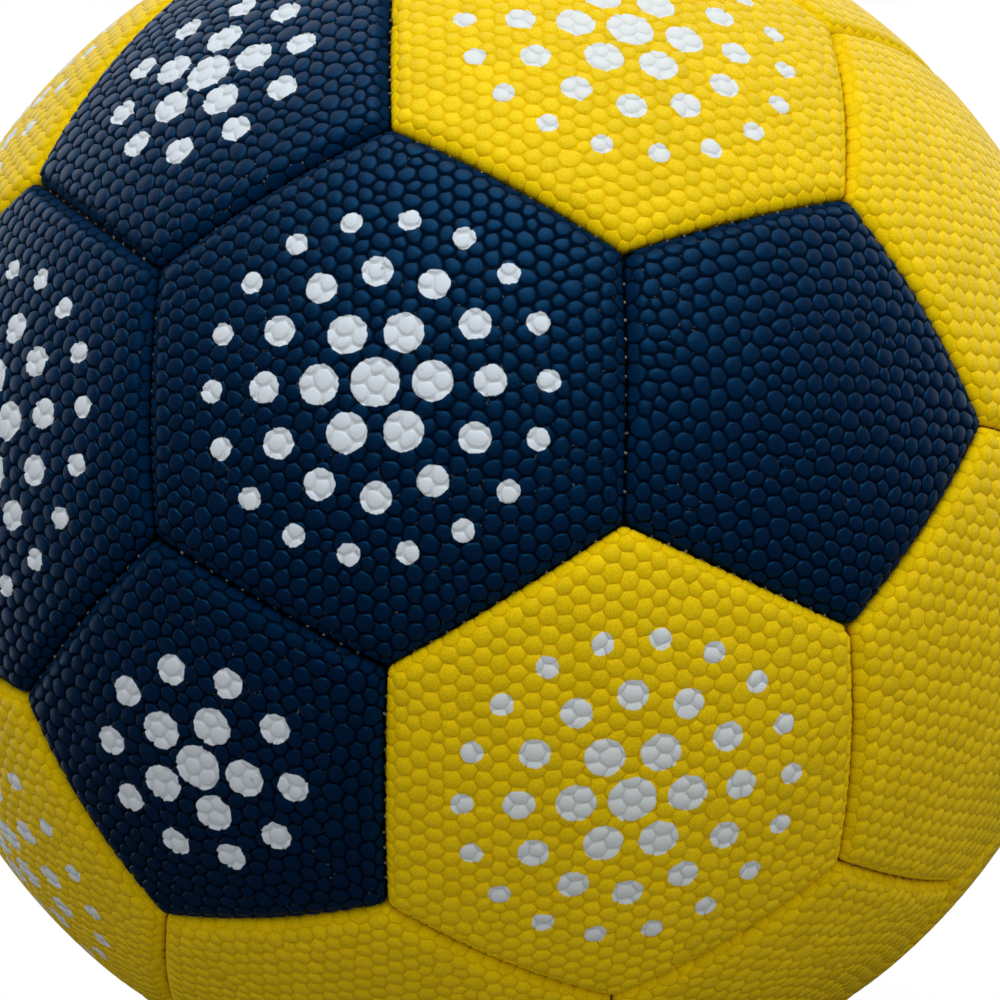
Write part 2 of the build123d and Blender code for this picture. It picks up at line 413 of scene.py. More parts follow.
def moulded(kind, flat):
    """Points of a flat sheet laid on the ball, its edges rolled in, and how far in each point is."""
    leather, seams, _, _ = settings()
    radius = ball_radius()
    reach = np.hypot(flat[:, 0], flat[:, 1])
    angle = reach / radius
    spread = np.where(reach > 1e-9, np.sin(angle) / np.maximum(reach, 1e-9), 1 / radius)
    out = np.stack([flat[:, 0] * spread, flat[:, 1] * spread, np.cos(angle)], 1)
    beyond, way, along = edge_field(kind, out)
    rolled = beyond + seams.roll_width
    developed, reaches, drops, angles = edge_roll()
    inside = np.clip(rolled, 0, developed[-1])
    extra = np.maximum(rolled - developed[-1], 0)
    shift = np.where(rolled > 0, np.interp(inside, developed, reaches) - rolled, 0)
    drop = np.interp(inside, developed, drops) + extra
    tilt = np.where(extra > 0, np.pi / 2, np.interp(inside, developed, angles))
    share_in = np.clip(rolled / developed[-1], 0, 1.5)
    stitches = stitch_places()
    to_stitch = np.abs(along[:, None] - stitches[None, :]).min(1)
    pull = np.exp(-((to_stitch / seams.stitch_pull_reach) ** 2)) * smooth_step(*PULL_SHARES, share_in)
    drop += seams.stitch_pull * pull * (extra <= 0)
    moved = out * np.cos(shift / radius)[:, None] + way * np.sin(shift / radius)[:, None]
    turned_way = way * np.cos(shift / radius)[:, None] - out * np.sin(shift / radius)[:, None]
    normal = moved * np.cos(tilt)[:, None] + turned_way * np.sin(tilt)[:, None]
    height = flat[:, 2]
    squeezed = height * (1 - FLATTENED_SHARE * smooth_step(*SQUEEZE_SHARES, share_in))
    raised = np.where(height > -UNDERSIDE_SHARE * leather.thickness, squeezed, height)
    return moved * (radius - drop)[:, None] + normal * raised[:, None], share_in


# Modelling helpers

def edit_mode(on):
    """Opens the active mesh for editing, or closes it."""
    bpy.ops.object.mode_set(mode="EDIT" if on else "OBJECT")


def select_none():
    """Deselects every object, so that an operator acts only on what is added next."""
    if bpy.context.mode != "OBJECT":
        edit_mode(False)
    bpy.ops.object.select_all(action="DESELECT")


def edit_selected(kind, chosen):
    """Opens the active mesh for editing with only the chosen faces, edges or vertices selected."""
    if bpy.context.mode != "OBJECT":
        edit_mode(False)
    mesh = bpy.context.object.data
    lists = {"FACE": mesh.polygons, "EDGE": mesh.edges, "VERT": mesh.vertices}
    for parts in lists.values():
        parts.foreach_set("select", np.zeros(len(parts), bool))
    lists[kind].foreach_set("select", chosen)
    edit_mode(True)
    bpy.ops.mesh.select_mode(type=kind)


def read(parts, name, width=1, kind=np.float32):
    """Numbers that a mesh's points, edges, faces or corners carry, one row for each."""
    values = np.empty(len(parts) * width, kind)
    parts.foreach_get(name, values)
    return values.reshape(-1, width)


def rim_edges(mesh):
    """Which edges of a mesh have only one face."""
    around = read(mesh.loops, "edge_index", kind=np.int32).ravel()
    return np.bincount(around, minlength=len(mesh.edges)) == 1


def edge_ends(mesh):
    """The two points of each edge of a mesh."""
    return read(mesh.edges, "vertices", 2, np.int32)


def corner_points(mesh):
    """The point at each corner of a mesh's faces."""
    return read(mesh.loops, "vertex_index", kind=np.int32).ravel()


def rim_points(mesh):
    """Which points of a mesh lie on its rim."""
    on_rim = np.zeros(len(mesh.vertices), bool)
    on_rim[edge_ends(mesh)[rim_edges(mesh)].ravel()] = True
    return on_rim


def face_values(mesh, name, width=1):
    """One value, or one vector, for each face of a mesh."""
    return read(mesh.polygons, name, width).astype(float)


def coordinates(mesh):
    """A mesh's points as an array."""
    return read(mesh.vertices, "co", 3).astype(float)


def set_coordinates(mesh, points):
    """Moves a mesh's points."""
    mesh.vertices.foreach_set("co", np.asarray(points, np.float32).ravel())
    mesh.update()


def write_attribute(mesh, name, domain, values):
    """Stores one number for each point or face."""
    mesh.attributes.new(name, "FLOAT", domain).data.foreach_set("value", np.asarray(values, np.float32))


def apply_modifier(kind, **values):
    """Adds a modifier to the active object, sets it and applies it."""
    bpy.ops.object.modifier_add(type=kind)
    modifier = bpy.context.object.modifiers[-1]
    for name, value in values.items():
        setattr(modifier, name, value)
    bpy.ops.object.modifier_apply(modifier=modifier.name)


def finish_piece(piece, name, material, slot, *nodes):
    """Names a finished piece, gives it its material and sets it on the body in place of its nodes."""
    piece.name = name
    piece.data.name = name
    piece.data.materials.clear()
    piece.data.materials.append(material)
    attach(piece, BODY)
    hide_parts(*nodes)


# The pebbled sheets

def cells_from_points():
    """The geometry nodes that turn a net of points into one cell round each point."""
    tree = bpy.data.node_groups.get("pebble_cells")
    if tree:
        return tree
    tree = bpy.data.node_groups.new("pebble_cells", "GeometryNodeTree")
    for way in ("INPUT", "OUTPUT"):
        tree.interface.new_socket(name="Geometry", in_out=way, socket_type="NodeSocketGeometry")
    start = tree.nodes.new("NodeGroupInput")
    dual = tree.nodes.new("GeometryNodeDualMesh")
    end = tree.nodes.new("NodeGroupOutput")
    dual.inputs["Keep Boundaries"].default_value = True
    tree.links.new(start.outputs[0], dual.inputs["Mesh"])
    tree.links.new(dual.outputs["Dual Mesh"], end.inputs[0])
    return tree


def sheet_reach(kind):
    """The distance from the middle of a flat sheet to its corners."""
    seams = settings()[1]
    developed = edge_roll()[0][-1]
    to_side = SIDE_ANGLE[kind] * ball_radius() - seams.roll_width + developed + seams.flange
    return to_side / math.cos(math.pi / SIDES[kind])


def net_steps(kind):
    """How often the side of a net is divided: in large steps, and each of those in small ones."""
    fine = 2
    return round(sheet_reach(kind) / settings()[0].pebble_pitch / fine), fine


def add_outline(kind, height):
    """A flat sheet of one triangle for each side, its first corner towards +X."""
    select_none()
    bpy.ops.mesh.primitive_circle_add(
        vertices=SIDES[kind],
        radius=sheet_reach(kind),
        fill_type="TRIFAN",
        location=(0, 0, height),
        rotation=(0, 0, -math.pi / 2),
    )
    bpy.ops.object.transform_apply(location=True, rotation=True, scale=True)


def divide(steps):
    """Divides every edge of the active mesh into equal steps."""
    edit_mode(True)
    bpy.ops.mesh.select_all(action="SELECT")
    bpy.ops.mesh.subdivide(number_cuts=steps - 1)
    edit_mode(False)


def stray_points(stray, seed, level):
    """Moves the inner points of the active flat net at random."""
    edit_selected("VERT", ~rim_points(bpy.context.object.data))
    bpy.ops.transform.vertex_random(offset=stray, uniform=0.25, normal=0, seed=seed)
    bpy.ops.transform.resize(value=(1, 1, 0), center_override=(0, 0, level))
    edit_mode(False)


def even_out(rounds, push):
    """Turns the flat net's edges the shorter way and moves its inner points to where there is room."""
    mesh = bpy.context.object.data
    fixed = rim_points(mesh)
    for _ in range(rounds):
        edit_selected("FACE", np.ones(len(mesh.polygons), bool))
        bpy.ops.mesh.beautify_fill(angle_limit=math.pi)
        edit_mode(False)
        area = face_values(mesh, "area")
        moment = np.repeat(np.hstack([face_values(mesh, "center", 3) * area, area]), 3, axis=0)
        points = coordinates(mesh)
        total = np.zeros((len(points), 4))
        np.add.at(total, corner_points(mesh), moment)
        moved = push * (total[:, :3] / total[:, 3:] - points)
        moved[fixed] = 0
        set_coordinates(mesh, points + moved)


def pebble_cells(kind, level, seed):
    """A flat sheet of uneven cells, at the level of the grooves."""
    leather = settings()[0]
    coarse, fine = net_steps(kind)
    add_outline(kind, level)
    divide(coarse)
    stray_points(leather.pebble_pitch * leather.row_stray, seed, level)
    divide(fine)
    stray_points(leather.pebble_pitch * leather.pebble_stray, seed, level)
    even_out(rounds=3, push=1.2)
    apply_modifier("NODES", node_group=cells_from_points())
    stray_points(leather.pebble_pitch * leather.corner_stray, seed, level)


def split_inner_edges(mesh):
    """Puts a point in the middle of every edge between two cells, so that their corners can be rounded."""
    cells = bmesh.new()
    cells.from_mesh(mesh)
    bmesh.ops.bisect_edges(cells, edges=[edge for edge in cells.edges if not edge.is_boundary], cuts=1)
    cells.to_mesh(mesh)
    cells.free()


def round_corners(mesh, level, rounding):
    """Draws the corners of the rings that stand above a level in between their neighbours on the ring."""
    points = coordinates(mesh)
    raised = points[:, 2] > level + 1e-6
    ends = edge_ends(mesh)
    ring = ends[raised[ends].all(1)]
    count = np.bincount(ring.ravel(), minlength=len(points))
    total = np.zeros_like(points)
    np.add.at(total, ring[:, 0], points[ring[:, 1]])
    np.add.at(total, ring[:, 1], points[ring[:, 0]])
    on_ring = count > 0
    points[on_ring] += rounding * (total[on_ring] / count[on_ring, None] - points[on_ring])
    set_coordinates(mesh, points)


def raise_pebbles(kind, height, groove, rounding, steps, seed):
    """Insets each cell in rounded steps, so that its pebble stands up with a soft shoulder."""
    shoulder = settings()[0].shoulder
    mesh = bpy.context.object.data
    write_attribute(mesh, TINT, "FACE", np.random.default_rng(seed).normal(0, 1, len(mesh.polygons)))
    split_inner_edges(mesh)
    edit_selected("FACE", moulded(kind, face_values(mesh, "center", 3))[1] < 1)
    bpy.ops.mesh.inset(thickness=groove, depth=GROOVE_WALL_SHARE * height, use_individual=True)
    edit_mode(False)
    round_corners(mesh, -height, rounding)
    edit_mode(True)
    for width, rise in steps:
        bpy.ops.mesh.inset(thickness=width * shoulder, depth=rise * height, use_individual=True)
    bpy.ops.mesh.poke(offset=CROWN_SHARE * height)
    edit_mode(False)


def close_underside(kind):
    """Joins a plain underside to the pebbled sheet along its cut edge."""
    leather = settings()[0]
    sheet = bpy.context.object
    add_outline(kind, -leather.thickness)
    divide(math.prod(net_steps(kind)))
    edit_mode(True)
    bpy.ops.mesh.flip_normals()
    edit_mode(False)
    sheet.select_set(True)
    bpy.context.view_layer.objects.active = sheet
    bpy.ops.object.join()
    edit_selected("EDGE", rim_edges(sheet.data))
    bpy.ops.mesh.bridge_edge_loops()
    edit_mode(False)


def dot_rosette(flat, rings):
    """The distance of each point past the edge of the nearest dot, for rings of dots of falling size."""
    best = np.full(len(flat), 1.0)
    reach = np.hypot(flat[:, 0], flat[:, 1])
    turn = np.arctan2(flat[:, 1], flat[:, 0])
    for ring_radius, count, dot_radius, start in rings:
        step = 2 * np.pi / count
        nearest = np.round((turn - start) / step) * step + start
        gap = np.hypot(reach * np.cos(turn - nearest) - ring_radius, reach * np.sin(turn - nearest))
        best = np.minimum(best, gap - dot_radius)
    return best


def rosette_rings(kind):
    """The printed rosette of a panel: ring radius, count of dots, dot radius and start of each ring."""
    leather = settings()[0]
    sides = SIDES[kind]
    ring_step = leather.hexagon_rings if kind == "hexagon" else leather.pentagon_rings
    rings = [(0, 1, leather.dot_radius, 0)]
    for i in range(1, DOT_RINGS[kind] + 1):
        dot_radius = leather.dot_radius - i * leather.dot_shrink
        rings.append((i * ring_step, sides * i, dot_radius, math.pi / sides * (i % 2)))
    return rings


def is_printed(kind, turn):
    """Whether a panel carries the printed rosette: those nearest the middle of the dark patches."""
    lean = abs(turn.col[2].dot(TO_FRAME @ Vector((1, 0, 0))))
    return lean > PRINT_LEAN[kind]


def mould_panel(kind, turn, height, printed):
    """Stores what the leather's material reads, then lays the active flat sheet on the ball."""
    mesh = bpy.context.object.data
    flat = coordinates(mesh)
    relief = np.clip(1 + flat[:, 2] / height, 0, 1)
    placed, rolled_in = moulded(kind, flat)
    write_attribute(mesh, RELIEF, "POINT", relief)
    write_attribute(mesh, SEAM, "POINT", np.clip(rolled_in, 0, 1))
    to_dot = dot_rosette(flat, rosette_rings(kind)) if printed else np.ones(len(flat))
    write_attribute(mesh, PRINT, "POINT", to_dot)
    layer = mesh.uv_layers.new(name="sheet")
    on_sheet = flat[:, :2] / (2 * sheet_reach(kind)) + 0.5
    layer.uv.foreach_set("vector", on_sheet[corner_points(mesh)].astype(np.float32).ravel())
    set_coordinates(mesh, placed @ np.array(turn).T)
    bpy.ops.object.shade_smooth()
    apply_modifier("WEIGHTED_NORMAL", mode="FACE_AREA", weight=100)


def punch_valve_hole():
    """Cuts the valve's hole through the active flat sheet and closes its wall."""
    radius = settings()[2].hole_radius
    mesh = bpy.context.object.data
    middles = face_values(mesh, "center", 3)
    edit_selected("FACE", np.hypot(middles[:, 0], middles[:, 1]) < radius)
    bpy.ops.mesh.delete(type="FACE")
    edit_mode(False)
    points = coordinates(mesh)
    rim = rim_points(mesh)
    points[rim, :2] *= radius / np.hypot(points[rim, 0], points[rim, 1])[:, None]
    set_coordinates(mesh, points)
    edit_selected("EDGE", rim_edges(mesh))
    bpy.ops.mesh.bridge_edge_loops()
    edit_mode(False)


def make_panel(node, kind, turn, seed):
    """One cover panel: cells, pebbles, underside, print and moulding."""
    leather = settings()[0]
    slot = slot_of(node)
    height, groove, rounding = leather.yellow_height, leather.yellow_groove, leather.yellow_rounding
    if slot == "navy_cover":
        height, groove, rounding = leather.navy_height, leather.navy_groove, leather.navy_rounding
    pebble_cells(kind, -height, seed)
    raise_pebbles(kind, height, groove, rounding, SHOULDER_STEPS[slot], seed)
    close_underside(kind)
    if node == "valve_panel":
        punch_valve_hole()
    mould_panel(kind, turn, height, is_printed(kind, turn))
    return bpy.context.object


# Shader nodes

def node(tree, kind, sources=None, **values):
    """Adds a shader node, sets its properties, and sets or links its inputs."""
    made = tree.nodes.new(kind)
    for name, value in values.items():
        setattr(made, name, value)
    for key, source in (sources or {}).items():
        if isinstance(source, bpy.types.NodeSocket):
            tree.links.new(source, made.inputs[key])
        else:
            made.inputs[key].default_value = source
    return made


def mixed(tree, factor, first, second, blend="MIX"):
    """A mix of two colours."""
    sources = {0: factor, 6: first, 7: second}
    return node(tree, "ShaderNodeMix", sources, data_type="RGBA", blend_type=blend).outputs[2]


def maths(tree, operation, first, second=0.0, third=0.0, clamp=False):
    """One sum."""
    sources = {0: first, 1: second, 2: third}
    return node(tree, "ShaderNodeMath", sources, operation=operation, use_clamp=clamp).outputs[0]


def ranged(tree, value, low, high, bottom=0.0, top=1.0):
    """A value brought smoothly from one range to another."""
    sources = {"Value": value, "From Min": low, "From Max": high, "To Min": bottom, "To Max": top}
    return node(tree, "ShaderNodeMapRange", sources, interpolation_type="SMOOTHSTEP").outputs[0]


def own_place(tree):
    """The object's own coordinates."""
    return node(tree, "ShaderNodeTexCoord").outputs["Object"]


def noise(tree, scale, detail=2.0, rough=0.5):
    """Noise on the object's own coordinates."""
    sources = {"Vector": own_place(tree), "Scale": scale, "Detail": detail, "Roughness": rough}
    return node(tree, "ShaderNodeTexNoise", sources).outputs["Fac"]


def attribute(tree, name):
    """A number that the mesh carries."""
    return node(tree, "ShaderNodeAttribute", attribute_name=name).outputs["Fac"]


def rgba(values):
    """A colour with full alpha."""
    return (*values, 1.0)


def effect_group(name, inputs, outputs, build):
    """A node group with named inputs and outputs, built once."""
    tree = bpy.data.node_groups.get(name)
    if tree:
        return tree
    tree = bpy.data.node_groups.new(name, "ShaderNodeTree")
    for way, sockets in (("INPUT", inputs), ("OUTPUT", outputs)):
        for label, kind in sockets.items():
            tree.interface.new_socket(name=label, in_out=way, socket_type=f"NodeSocket{kind}")
    start, end = tree.nodes.new("NodeGroupInput"), tree.nodes.new("NodeGroupOutput")
    for label, socket in build(tree, start.outputs).items():
        tree.links.new(socket, end.inputs[label])
    return tree


def use_group(tree, group, **sources):
    """Places a node group in a material; an input's spaces are written as underscores."""
    labelled = {key.replace("_", " "): source for key, source in sources.items()}
    return node(tree, "ShaderNodeGroup", labelled, node_tree=group).outputs


def fine_grain():
    """Pores and fine creases, as a height."""
    def build(tree, given):
        coarse = noise(tree, 2600, 3, 0.6)
        fine = noise(tree, 9000, 2, 0.5)
        height = maths(tree, "MULTIPLY_ADD", coarse, 0.6, maths(tree, "MULTIPLY", fine, 0.4))
        return {"Height": maths(tree, "MULTIPLY", height, given["Amount"])}
    return effect_group("fine_grain", {"Amount": "Float"}, {"Height": "Float"}, build)


def settled_dust():
    """Specks of dust that gather where a mask lets them."""
    def build(tree, given):
        speck = ranged(tree, noise(tree, 1500, 3, 0.65), 0.6, 0.7)
        patch = ranged(tree, noise(tree, 55, 2, 0.5), 0.36, 0.64)
        gathered = maths(tree, "MULTIPLY", maths(tree, "MULTIPLY", speck, patch), given["Where"])
        return {"Mask": maths(tree, "MULTIPLY", gathered, given["Amount"], clamp=True)}
    return effect_group("settled_dust", {"Where": "Float", "Amount": "Float"}, {"Mask": "Float"}, build)


def leather_tone():
    """Leather colour with painted shade in the grooves and at the bottom of the seams, where there is a
    little dirt as well, varying from pebble to pebble.
    """
    def build(tree, given):
        tint = maths(tree, "MULTIPLY_ADD", given["Tint"], 0.035, 1.0)
        patch = ranged(tree, noise(tree, 24, 3, 0.55), 0.3, 0.7, 0.94, 1.04)
        grain = ranged(tree, noise(tree, 5200, 2, 0.6), 0.3, 0.7, 0.86, 1.12)
        shade = maths(tree, "MULTIPLY", maths(tree, "MULTIPLY", tint, patch), grain)
        varied = mixed(tree, 1.0, given["Colour"], shade, "MULTIPLY")
        # Painted shade in the grooves: the groove colour takes over where the relief falls below Groove Top
        above = ranged(tree, given["Relief"], 0.05, given["Groove Top"])
        groove_shaded = mixed(tree, above, given["Groove Colour"], varied)
        # Painted shade at the bottom of the seams, with a little dirt: the seam colour takes over there
        deep = ranged(tree, given["Seam"], 0.86, 1.0, 0.0, 0.85)
        return {"Colour": mixed(tree, deep, groove_shaded, given["Seam Colour"])}
    inputs = dict.fromkeys(("Colour", "Groove Colour", "Seam Colour"), "Color")
    inputs |= dict.fromkeys(("Groove Top", "Relief", "Tint", "Seam"), "Float")
    return effect_group("leather_tone", inputs, {"Colour": "Color"}, build)


def printed_dots():
    """Where the printed dots show, with uneven edges and thin ink in the grooves, through which a little of
    the painted groove shade shows.
    """
    def build(tree, given):
        uneven = maths(tree, "MULTIPLY", maths(tree, "SUBTRACT", noise(tree, 900, 2, 0.5), 0.5), PRINT_WAVER)
        past = maths(tree, "ADD", given["Distance"], uneven)
        edge = ranged(tree, past, -PRINT_FADE, PRINT_FADE, 1.0, 0.0)
        ink = ranged(tree, given["Relief"], 0.0, 0.3, 0.95, 1.0)
        worn = ranged(tree, noise(tree, 420, 4, 0.7), 0.26, 0.36, 0.55, 1.0)
        return {"Mask": maths(tree, "MULTIPLY", maths(tree, "MULTIPLY", edge, ink), worn)}
    return effect_group("printed_dots", {"Distance": "Float", "Relief": "Float"}, {"Mask": "Float"}, build)


def new_material(name, base, roughness):
    """A material with its Principled shader, ready for links."""
    material = bpy.data.materials.new(name)
    material.use_nodes = True
    material.diffuse_color = rgba(base)
    shader = material.node_tree.nodes["Principled BSDF"]
    shader.inputs["Base Color"].default_value = rgba(base)
    shader.inputs["Roughness"].default_value = roughness
    return material, material.node_tree, shader


def bump(tree, shader, height, strength, distance):
    """Feeds a height to a shader's normal."""
    made = node(tree, "ShaderNodeBump", {"Height": height, "Strength": strength, "Distance": distance})
    tree.links.new(made.outputs["Normal"], shader.inputs["Normal"])


def pebbled_leather(name, base, groove, groove_top, seam_shade, sheen, sheen_tint, coat, dust_amount):
    """Pebbled synthetic leather with its print, dust, grain and sheen, and painted shade in its grooves and
    at the bottom of its seams.
    """
    leather = settings()[0]
    material, tree, shader = new_material(name, base, 0.55)
    relief, tint, seam = (attribute(tree, label) for label in (RELIEF, TINT, SEAM))
    # Painted shade: the groove colour darkens the grooves, and the groove colour times seam_shade darkens
    # the bottom of the seams, with a little dirt there
    tone = use_group(
        tree,
        leather_tone(),
        Colour=rgba(base),
        Groove_Colour=rgba(groove),
        Groove_Top=groove_top,
        Seam_Colour=rgba(Vector(groove) * seam_shade),
        Relief=relief,
        Tint=tint,
        Seam=seam,
    )["Colour"]
    ink = use_group(tree, printed_dots(), Distance=attribute(tree, PRINT), Relief=relief)["Mask"]
    inked = mixed(tree, ink, tone, rgba(leather.print_white))
    low = ranged(tree, relief, 0.25, 0.6, 1.0, 0.06)
    dust = use_group(tree, settled_dust(), Where=low, Amount=dust_amount)["Mask"]
    tree.links.new(mixed(tree, dust, inked, rgba(leather.dust)), shader.inputs["Base Color"])
    worn = ranged(tree, noise(tree, 700, 3, 0.6), 0.3, 0.7, 0.36, 0.48)
    in_groove = ranged(tree, relief, 0.2, 0.7, 1.0, 0.0)
    dull = maths(tree, "MAXIMUM", in_groove, ranged(tree, seam, 0.2, 0.8))
    tree.links.new(maths(tree, "MAXIMUM", worn, dull), shader.inputs["Roughness"])
    polish = ranged(tree, dull, 0.0, 1.0, coat, 0.0)
    tree.links.new(polish, shader.inputs["Coat Weight"])
    shader.inputs["Coat Roughness"].default_value = 0.45
    shader.inputs["Specular IOR Level"].default_value = sheen
    shader.inputs["Specular Tint"].default_value = rgba(sheen_tint)
    grain = use_group(tree, fine_grain(), Amount=1.0)["Height"]
    bump(tree, shader, grain, 0.65, GRAIN_DEPTH)
    return material


def cover_materials():
    """The dark and the light leather, by slot."""
    leather = settings()[0]
    # The groove colours and seam_shade are painted shade in the grooves and seams; groove_top is the relief
    # up to which the painted groove shade reaches
    return {
        "navy_cover": pebbled_leather(
            "navy_leather",
            leather.navy,
            leather.navy_groove_painted_shade,
            groove_top=0.7,
            seam_shade=0.3,
            sheen=0.8,
            sheen_tint=(0.0, 0.4, 1.0),
            coat=0.05,
            dust_amount=0.42,
        ),
        "yellow_cover": pebbled_leather(
            "yellow_leather",
            leather.yellow,
            leather.yellow_groove_painted_shade,
            groove_top=0.45,
            seam_shade=1.0,
            sheen=0.4,
            sheen_tint=(1.0, 0.92, 0.0),
            coat=0.08,
            dust_amount=0.0,
        ),
    }


def spun_thread(name, base):
    """Waxed thread with a fibrous surface, darker between its fibres and soiled in places."""
    material, tree, shader = new_material(name, base, 0.6)
    fibres = noise(tree, 5200, 3, 0.7)
    soil = ranged(tree, noise(tree, 380, 2, 0.5), 0.4, 0.56)
    soiled = mixed(tree, soil, rgba(base), rgba((0.1, 0.09, 0.075)))
    shaded = mixed(tree, ranged(tree, fibres, 0.3, 0.8, 0, 0.5), soiled, rgba(Vector(base) * 0.5))
    tree.links.new(shaded, shader.inputs["Base Color"])
    tree.links.new(ranged(tree, fibres, 0.3, 0.7, 0.5, 0.8), shader.inputs["Roughness"])
    bump(tree, shader, fibres, 0.5, GRAIN_DEPTH)
    return material


def moulded_rubber(name, base, bloom=(0.06, 0.06, 0.06)):
    """Moulded rubber with a faint bloom and fine grain."""
    material, tree, shader = new_material(name, base, 0.6)
    cloud = ranged(tree, noise(tree, 140, 4, 0.6), 0.4, 0.75, 0, 0.5)
    tree.links.new(mixed(tree, cloud, rgba(base), rgba(bloom)), shader.inputs["Base Color"])
    tree.links.new(ranged(tree, noise(tree, 900, 3, 0.6), 0.3, 0.7, 0.5, 0.72), shader.inputs["Roughness"])
    bump(tree, shader, use_group(tree, fine_grain(), Amount=1.0)["Height"], 0.3, GRAIN_DEPTH)
    return material


def cellular_foam(name, base):
    """Closed-cell foam, pitted all over, with painted shade in its pits."""
    material, tree, shader = new_material(name, base, 0.9)
    sources = {"Vector": own_place(tree), "Scale": 1800.0}
    cells = node(tree, "ShaderNodeTexVoronoi", sources).outputs["Distance"]
    pits = ranged(tree, cells, 0.1, 0.6)
    # Painted shade: the pits are coloured darker where the bump sinks
    tree.links.new(mixed(tree, pits, rgba(Vector(base) * 0.6), rgba(base)), shader.inputs["Base Color"])
    bump(tree, shader, pits, 0.5, PIT_DEPTH)
    return material


def woven_lining(name, base):
    """Plain-woven textile, its threads crossing on the object's own axes, with painted shade where the weave
    sinks between them.
    """
    material, tree, shader = new_material(name, base, 0.85)
    waves = []
    for way in ("X", "Y", "Z"):
        sources = {"Vector": own_place(tree), "Scale": 260.0, "Distortion": 0.6}
        waves.append(node(tree, "ShaderNodeTexWave", sources, bands_direction=way).outputs["Fac"])
    crossed = maths(tree, "MULTIPLY", maths(tree, "MAXIMUM", waves[0], waves[1]), waves[2])
    # Painted shade: the weave is coloured darker where its bump sinks between the threads
    tree.links.new(mixed(tree, crossed, rgba(Vector(base) * 0.7), rgba(base)), shader.inputs["Base Color"])
    bump(tree, shader, crossed, 0.4, PIT_DEPTH)
    return material


# Operators

class HANDBALL_OT_cover_panels(bpy.types.Operator):
    """Model the pebbled cover panels over the ball"""

    bl_idname = "handball.cover_panels"
    bl_label = "Cover Panels"

    def execute(self, context):
        leather = settings()[0]
        materials = cover_materials()
        for index, (cover, kind, turn) in enumerate(cover_nodes()):
            piece = make_panel(cover, kind, turn, leather.first_seed + index)
            slot = slot_of(cover)
            finish_piece(piece, f"{cover}_leather", materials[slot], slot, cover)
        return {"FINISHED"}


class HANDBALL_OT_seam_threads(bpy.types.Operator):
    """Model the thread that crosses at the bottom of the seams"""

    bl_idname = "handball.seam_threads"
    bl_label = "Seam Threads"

    def execute(self, context):
        seams = settings()[1]
        material = spun_thread("waxed_thread", seams.thread)
        between, around = seam_places()
        for name, places in (("hexagon_seam_threads", between), ("pentagon_seam_threads", around)):
            piece = self.thread_group(places)
            finish_piece(piece, f"{name}_sewn", material, "thread", name)
        return {"FINISHED"}

    def route(self):
        """The running stitch along one seam: over the valley's bottom, down, and along under the leather."""
        seams = settings()[1]
        top = ball_radius() - seams.stitch_depth
        low = top - STITCH_DIP * seams.thread_diameter
        side = STITCH_REACH * seams.thread_diameter
        lean = STITCH_LEAN * seams.thread_diameter
        points = []
        for along in stitch_places():
            angle = along / top
            crossing = CROSSING_SHARE * side
            bends = ((side, low, 0), (crossing, top, lean), (-crossing, top, -lean), (-side, low, 0))
            for across, height, drift in bends:
                points.append((height * math.sin(angle) + drift, across, height * math.cos(angle)))
            side = -side
        return points

    def thread_group(self, places):
        """Every seam's thread of one kind, in one object."""
        seams = settings()[1]
        curve = bpy.data.curves.new("stitch_route", "CURVE")
        curve.dimensions = "3D"
        curve.bevel_depth = seams.thread_diameter / 2
        curve.bevel_resolution = 1
        curve.resolution_u = 2
        curve.use_fill_caps = True
        route = self.route()
        for turn in places:
            spline = curve.splines.new("NURBS")
            spline.points.add(len(route) - 1)
            for point, place in zip(spline.points, route):
                point.co = (*(turn @ Vector(place)), 1)
            spline.order_u = 3
            spline.use_endpoint_u = True
        select_none()
        thread = bpy.data.objects.new("stitch_route", curve)
        bpy.context.collection.objects.link(thread)
        thread.select_set(True)
        bpy.context.view_layer.objects.active = thread
        bpy.ops.object.convert(target="MESH")
        bpy.ops.object.shade_smooth()
        return bpy.context.object


class HANDBALL_OT_valve(bpy.types.Operator):
    """Model the rubber valve in the top panel"""

    bl_idname = "handball.valve"
    bl_label = "Valve"

    def execute(self, context):
        valve = settings()[2]
        low, high = (Vector(corner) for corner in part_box("valve_housing"))
        face = ball_radius() - valve.recess
        flange = (high.x - low.x) / 2
        neck = valve.neck * flange
        wall = valve.stem_radius - valve.bore_radius
        outline = [
            (valve.bore_radius, low.z),
            (neck, low.z),
            (neck, face - valve.neck_depth),
            (flange, face - valve.flange_low),
            (flange, face - valve.flange_high),
            (valve.stem_radius, face - valve.root_depth),
            (valve.stem_radius, face - valve.chamfer),
            (valve.stem_radius - valve.chamfer, face),
        ]
        for out, down in DISH_SHARES:
            outline.append((valve.bore_radius + out * wall, face - down * valve.recess))
        select_none()
        bpy.ops.mesh.primitive_plane_add(size=1)
        edit_mode(True)
        bpy.ops.mesh.delete(type="VERT")
        mesh = bmesh.from_edit_mesh(context.object.data)
        points = [mesh.verts.new((x, 0, z)) for x, z in outline]
        for first, second in zip(points, points[1:] + points[:1]):
            mesh.edges.new((first, second))
        bmesh.update_edit_mesh(context.object.data)
        bpy.ops.mesh.select_all(action="SELECT")
        bpy.ops.mesh.spin(steps=48, angle=2 * math.pi, center=(0, 0, 0), axis=(0, 0, 1))
        bpy.ops.mesh.select_all(action="SELECT")
        bpy.ops.mesh.remove_doubles(threshold=1e-6)
        bpy.ops.mesh.normals_make_consistent(inside=False)
        edit_mode(False)
        apply_modifier("BEVEL", width=valve.edge_round, segments=2, angle_limit=math.radians(25))
        bpy.ops.object.shade_smooth_by_angle(angle=math.radians(40))
        material = moulded_rubber("valve_rubber", valve.rubber)
        finish_piece(context.object, "valve_nozzle", material, "valve", "valve_housing")
        return {"FINISHED"}


